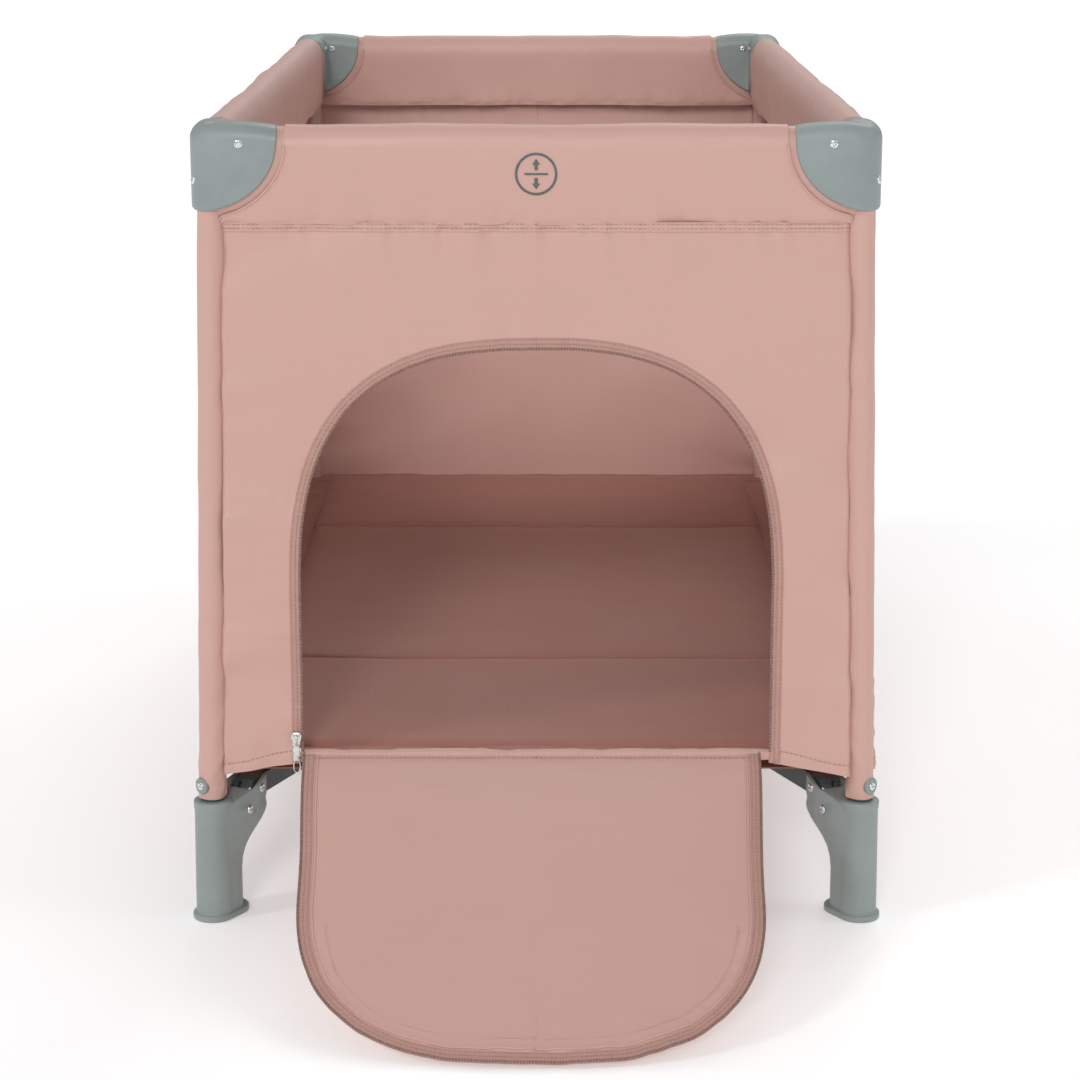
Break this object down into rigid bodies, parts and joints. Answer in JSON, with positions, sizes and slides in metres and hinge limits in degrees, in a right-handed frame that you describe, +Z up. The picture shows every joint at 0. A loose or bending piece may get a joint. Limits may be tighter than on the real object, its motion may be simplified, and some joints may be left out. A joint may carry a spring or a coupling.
{
  "type": "playpen",
  "caption": "Folding travel cot used as a playpen, with padded rails, cloth and mesh walls, a padded floor and a zipped arched door at one end",
  "frame": {"origin": "on the floor, in the middle of the underside of the support foot below the central hub", "axes": "X across the cot, Y along it with the zipped door in the -Y end, Z up"},
  "size_m": [0.68, 1.6199, 0.786],
  "materials": {
    "satin_cloth": "satin woven polyester, dusty pink, soft sheen, double stitched seams",
    "mattress_cloth": "smooth brushed polyester over padded boards, rose brown",
    "lining_cloth": "plain woven lining, matt rose brown",
    "window_mesh": "open knitted polyester mesh, dark grey, in a satin cloth wall",
    "grey_plastic": "moulded, fine-grained, grey green, satin edges",
    "frame_steel": "dark grey green powder coat, semi-matt",
    "zip_metal": "bright plated zinc",
    "screw_metal": "bright zinc-plated screws and rivets",
    "webbing": "ribbed polyester webbing",
    "zip_tape": "narrow woven zip tape with moulded teeth in the same pink",
    "stitching": "polyester sewing thread, tone on tone"
  },
  "bodies": {
    "root": {"hub": "grey_plastic", "hub_pull_strap": "webbing", "floor_cloth": "lining_cloth"},
    "base_bar_front_left": {"base_bar_front_left": "frame_steel"},
    "leg_front_left": {"foot_front_left": "grey_plastic", "leg_tube_front_left": "frame_steel", "corner_cap_front_left": "grey_plastic", "end_wall_front_left": "satin_cloth", "side_wall_front_left": "window_mesh"},
    "end_rail_front_left": {"end_rail_front_left": "frame_steel", "end_rail_cover_front_left": "satin_cloth"},
    "side_rail_front_left": {"side_rail_front_left": "frame_steel", "side_rail_cover_front_left": "satin_cloth"},
    "base_bar_front_right": {"base_bar_front_right": "frame_steel"},
    "leg_front_right": {"foot_front_right": "grey_plastic", "leg_tube_front_right": "frame_steel", "corner_cap_front_right": "grey_plastic", "end_wall_front_right": "satin_cloth", "side_wall_front_right": "window_mesh"},
    "end_rail_front_right": {"end_rail_front_right": "frame_steel", "end_rail_cover_front_right": "satin_cloth"},
    "side_rail_front_right": {"side_rail_front_right": "frame_steel", "side_rail_cover_front_right": "satin_cloth"},
    "base_bar_back_left": {"base_bar_back_left": "frame_steel"},
    "leg_back_left": {"foot_back_left": "grey_plastic", "leg_tube_back_left": "frame_steel", "corner_cap_back_left": "grey_plastic", "end_wall_back_left": "satin_cloth", "side_wall_back_left": "window_mesh"},
    "end_rail_back_left": {"end_rail_back_left": "frame_steel", "end_rail_cover_back_left": "satin_cloth"},
    "side_rail_back_left": {"side_rail_back_left": "frame_steel", "side_rail_cover_back_left": "satin_cloth"},
    "base_bar_back_right": {"base_bar_back_right": "frame_steel"},
    "leg_back_right": {"foot_back_right": "grey_plastic", "leg_tube_back_right": "frame_steel", "corner_cap_back_right": "grey_plastic", "end_wall_back_right": "satin_cloth", "side_wall_back_right": "window_mesh"},
    "end_rail_back_right": {"end_rail_back_right": "frame_steel", "end_rail_cover_back_right": "satin_cloth"},
    "side_rail_back_right": {"side_rail_back_right": "frame_steel", "side_rail_cover_back_right": "satin_cloth"},
    "latch_front": {"latch_front": "grey_plastic"},
    "latch_button_front": {"latch_button_front": "grey_plastic"},
    "latch_back": {"latch_back": "grey_plastic"},
    "latch_button_back": {"latch_button_back": "grey_plastic"},
    "latch_left": {"latch_left": "grey_plastic"},
    "latch_button_left": {"latch_button_left": "grey_plastic"},
    "latch_right": {"latch_right": "grey_plastic"},
    "latch_button_right": {"latch_button_right": "grey_plastic"},
    "mattress_middle": {"mattress_middle": "mattress_cloth"},
    "mattress_front": {"mattress_front": "mattress_cloth"},
    "mattress_back": {"mattress_back": "mattress_cloth"},
    "door_flap_left": {"door_flap_left": "satin_cloth"},
    "door_flap_right": {"door_flap_right": "satin_cloth"},
    "zip_box": {"zip_box": "zip_metal"},
    "zip_slider": {"zip_slider": "zip_metal"},
    "zip_pull": {"zip_pull": "zip_metal"}
  },
  "joints": [
    {"name": "frame_fold", "type": "hinge", "parent": "root", "child": "base_bar_front_left", "pos_m": [-0.046, -0.046, 0.126], "axis": [0.9131, -0.4077, 0], "range_deg": [0, 80], "deforming": ["end_wall_front_left", "side_wall_front_left", "end_rail_cover_front_left", "side_rail_cover_front_left", "end_wall_front_right", "side_wall_front_right", "end_rail_cover_front_right", "side_rail_cover_front_right", "end_wall_back_left", "side_wall_back_left", "end_rail_cover_back_left", "side_rail_cover_back_left", "end_wall_back_right", "side_wall_back_right", "end_rail_cover_back_right", "side_rail_cover_back_right", "floor_cloth", "mattress_front", "mattress_middle", "mattress_back", "door_flap_left", "door_flap_right"]},
    {"name": "foot_pivot_front_left", "type": "hinge", "parent": "base_bar_front_left", "child": "leg_front_left", "pos_m": [-0.288, -0.588, 0.126], "axis": [-0.9131, 0.4077, 0], "range_deg": [0, 80]},
    {"name": "end_rail_pivot_front_left", "type": "hinge", "parent": "leg_front_left", "child": "end_rail_front_left", "pos_m": [-0.262, -0.605, 0.733], "axis": [0, 1, 0], "range_deg": [0, 80]},
    {"name": "side_rail_pivot_front_left", "type": "hinge", "parent": "leg_front_left", "child": "side_rail_front_left", "pos_m": [-0.305, -0.562, 0.733], "axis": [-1, 0, 0], "range_deg": [0, 80]},
    {"name": "hub_pivot_front_right", "type": "hinge", "parent": "root", "child": "base_bar_front_right", "pos_m": [0.046, -0.046, 0.126], "axis": [0.9131, 0.4077, 0], "range_deg": [0, 80]},
    {"name": "foot_pivot_front_right", "type": "hinge", "parent": "base_bar_front_right", "child": "leg_front_right", "pos_m": [0.288, -0.588, 0.126], "axis": [-0.9131, -0.4077, 0], "range_deg": [0, 80]},
    {"name": "end_rail_pivot_front_right", "type": "hinge", "parent": "leg_front_right", "child": "end_rail_front_right", "pos_m": [0.262, -0.605, 0.733], "axis": [0, -1, 0], "range_deg": [0, 80]},
    {"name": "side_rail_pivot_front_right", "type": "hinge", "parent": "leg_front_right", "child": "side_rail_front_right", "pos_m": [0.305, -0.562, 0.733], "axis": [-1, 0, 0], "range_deg": [0, 80]},
    {"name": "hub_pivot_back_left", "type": "hinge", "parent": "root", "child": "base_bar_back_left", "pos_m": [-0.046, 0.046, 0.126], "axis": [-0.9131, -0.4077, 0], "range_deg": [0, 80]},
    {"name": "foot_pivot_back_left", "type": "hinge", "parent": "base_bar_back_left", "child": "leg_back_left", "pos_m": [-0.288, 0.588, 0.126], "axis": [0.9131, 0.4077, 0], "range_deg": [0, 80]},
    {"name": "end_rail_pivot_back_left", "type": "hinge", "parent": "leg_back_left", "child": "end_rail_back_left", "pos_m": [-0.262, 0.605, 0.733], "axis": [0, 1, 0], "range_deg": [0, 80]},
    {"name": "side_rail_pivot_back_left", "type": "hinge", "parent": "leg_back_left", "child": "side_rail_back_left", "pos_m": [-0.305, 0.562, 0.733], "axis": [1, 0, 0], "range_deg": [0, 80]},
    {"name": "hub_pivot_back_right", "type": "hinge", "parent": "root", "child": "base_bar_back_right", "pos_m": [0.046, 0.046, 0.126], "axis": [-0.9131, 0.4077, 0], "range_deg": [0, 80]},
    {"name": "foot_pivot_back_right", "type": "hinge", "parent": "base_bar_back_right", "child": "leg_back_right", "pos_m": [0.288, 0.588, 0.126], "axis": [0.9131, -0.4077, 0], "range_deg": [0, 80]},
    {"name": "end_rail_pivot_back_right", "type": "hinge", "parent": "leg_back_right", "child": "end_rail_back_right", "pos_m": [0.262, 0.605, 0.733], "axis": [0, -1, 0], "range_deg": [0, 80]},
    {"name": "side_rail_pivot_back_right", "type": "hinge", "parent": "leg_back_right", "child": "side_rail_back_right", "pos_m": [0.305, 0.562, 0.733], "axis": [1, 0, 0], "range_deg": [0, 80]},
    {"name": "latch_pivot_front", "type": "hinge", "parent": "end_rail_front_left", "child": "latch_front", "pos_m": [-0.02, -0.605, 0.733], "axis": [0, -1, 0], "range_deg": [0, 80]},
    {"name": "latch_press_front", "type": "slide", "parent": "latch_front", "child": "latch_button_front", "axis": [0, 1, 0], "range_m": [0, 0.0025], "stiffness_N_per_m": 150},
    {"name": "latch_pivot_back", "type": "hinge", "parent": "end_rail_back_left", "child": "latch_back", "pos_m": [-0.02, 0.605, 0.733], "axis": [0, -1, 0], "range_deg": [0, 80]},
    {"name": "latch_press_back", "type": "slide", "parent": "latch_back", "child": "latch_button_back", "axis": [0, -1, 0], "range_m": [0, 0.0025], "stiffness_N_per_m": 150},
    {"name": "latch_pivot_left", "type": "hinge", "parent": "side_rail_front_left", "child": "latch_left", "pos_m": [-0.305, -0.02, 0.733], "axis": [1, 0, 0], "range_deg": [0, 80]},
    {"name": "latch_press_left", "type": "slide", "parent": "latch_left", "child": "latch_button_left", "axis": [1, 0, 0], "range_m": [0, 0.0025], "stiffness_N_per_m": 150},
    {"name": "latch_pivot_right", "type": "hinge", "parent": "side_rail_front_right", "child": "latch_right", "pos_m": [0.305, -0.02, 0.733], "axis": [1, 0, 0], "range_deg": [0, 80]},
    {"name": "latch_press_right", "type": "slide", "parent": "latch_right", "child": "latch_button_right", "axis": [-1, 0, 0], "range_m": [0, 0.0025], "stiffness_N_per_m": 150},
    {"name": "mattress_lift", "type": "slide", "parent": "root", "child": "mattress_middle", "axis": [0, 0, 1], "range_m": [0, 0.06]},
    {"name": "mattress_fold_front", "type": "hinge", "parent": "mattress_middle", "child": "mattress_front", "pos_m": [0, -0.2995, 0.145], "axis": [1, 0, 0], "range_deg": [0, 90]},
    {"name": "mattress_fold_back", "type": "hinge", "parent": "mattress_middle", "child": "mattress_back", "pos_m": [0, 0.2995, 0.145], "axis": [-1, 0, 0], "range_deg": [0, 90]},
    {"name": "door_flap", "type": "hinge", "parent": "leg_front_left", "child": "door_flap_left", "pos_m": [0, -0.62709, 0.172], "axis": [-1, 0, 0], "range_deg": [0, 116.82]},
    {"name": "door_flap_other_half", "type": "hinge", "parent": "leg_front_right", "child": "door_flap_right", "pos_m": [0, -0.62709, 0.172], "axis": [-1, 0, 0], "range_deg": [0, 116.82]},
    {"name": "zip_gather", "type": "slide", "parent": "leg_front_left", "child": "zip_box", "axis": [-1, 0, 0], "range_m": [0, 0.047]},
    {"name": "zip_slide", "type": "slide", "parent": "zip_box", "child": "zip_slider", "axis": [0, 0, 1], "range_m": [0, 0.13]},
    {"name": "zip_pull_swing", "type": "hinge", "parent": "zip_slider", "child": "zip_pull", "pos_m": [-0.234, -0.6352, 0.1917], "axis": [-1, 0, 0], "range_deg": [0, 120]}
  ],
  "couplings": [
    {"joint": "foot_pivot_front_left", "follows": "frame_fold", "ratio": 1},
    {"joint": "end_rail_pivot_front_left", "follows": "frame_fold", "ratio": 1},
    {"joint": "side_rail_pivot_front_left", "follows": "frame_fold", "ratio": 1},
    {"joint": "hub_pivot_front_right", "follows": "frame_fold", "ratio": 1},
    {"joint": "foot_pivot_front_right", "follows": "frame_fold", "ratio": 1},
    {"joint": "end_rail_pivot_front_right", "follows": "frame_fold", "ratio": 1},
    {"joint": "side_rail_pivot_front_right", "follows": "frame_fold", "ratio": 1},
    {"joint": "hub_pivot_back_left", "follows": "frame_fold", "ratio": 1},
    {"joint": "foot_pivot_back_left", "follows": "frame_fold", "ratio": 1},
    {"joint": "end_rail_pivot_back_left", "follows": "frame_fold", "ratio": 1},
    {"joint": "side_rail_pivot_back_left", "follows": "frame_fold", "ratio": 1},
    {"joint": "hub_pivot_back_right", "follows": "frame_fold", "ratio": 1},
    {"joint": "foot_pivot_back_right", "follows": "frame_fold", "ratio": 1},
    {"joint": "end_rail_pivot_back_right", "follows": "frame_fold", "ratio": 1},
    {"joint": "side_rail_pivot_back_right", "follows": "frame_fold", "ratio": 1},
    {"joint": "latch_pivot_front", "follows": "frame_fold", "ratio": 1},
    {"joint": "latch_pivot_back", "follows": "frame_fold", "ratio": 1},
    {"joint": "latch_pivot_left", "follows": "frame_fold", "ratio": 1},
    {"joint": "latch_pivot_right", "follows": "frame_fold", "ratio": 1},
    {"joint": "mattress_lift", "follows": "frame_fold", "m_per_rad": 0.042972},
    {"joint": "mattress_fold_front", "follows": "frame_fold", "ratio": 1.125},
    {"joint": "mattress_fold_back", "follows": "frame_fold", "ratio": 1.125},
    {"joint": "door_flap_other_half", "follows": "door_flap", "ratio": 1},
    {"joint": "zip_gather", "follows": "frame_fold", "m_per_rad": 0.033661}
  ]
}
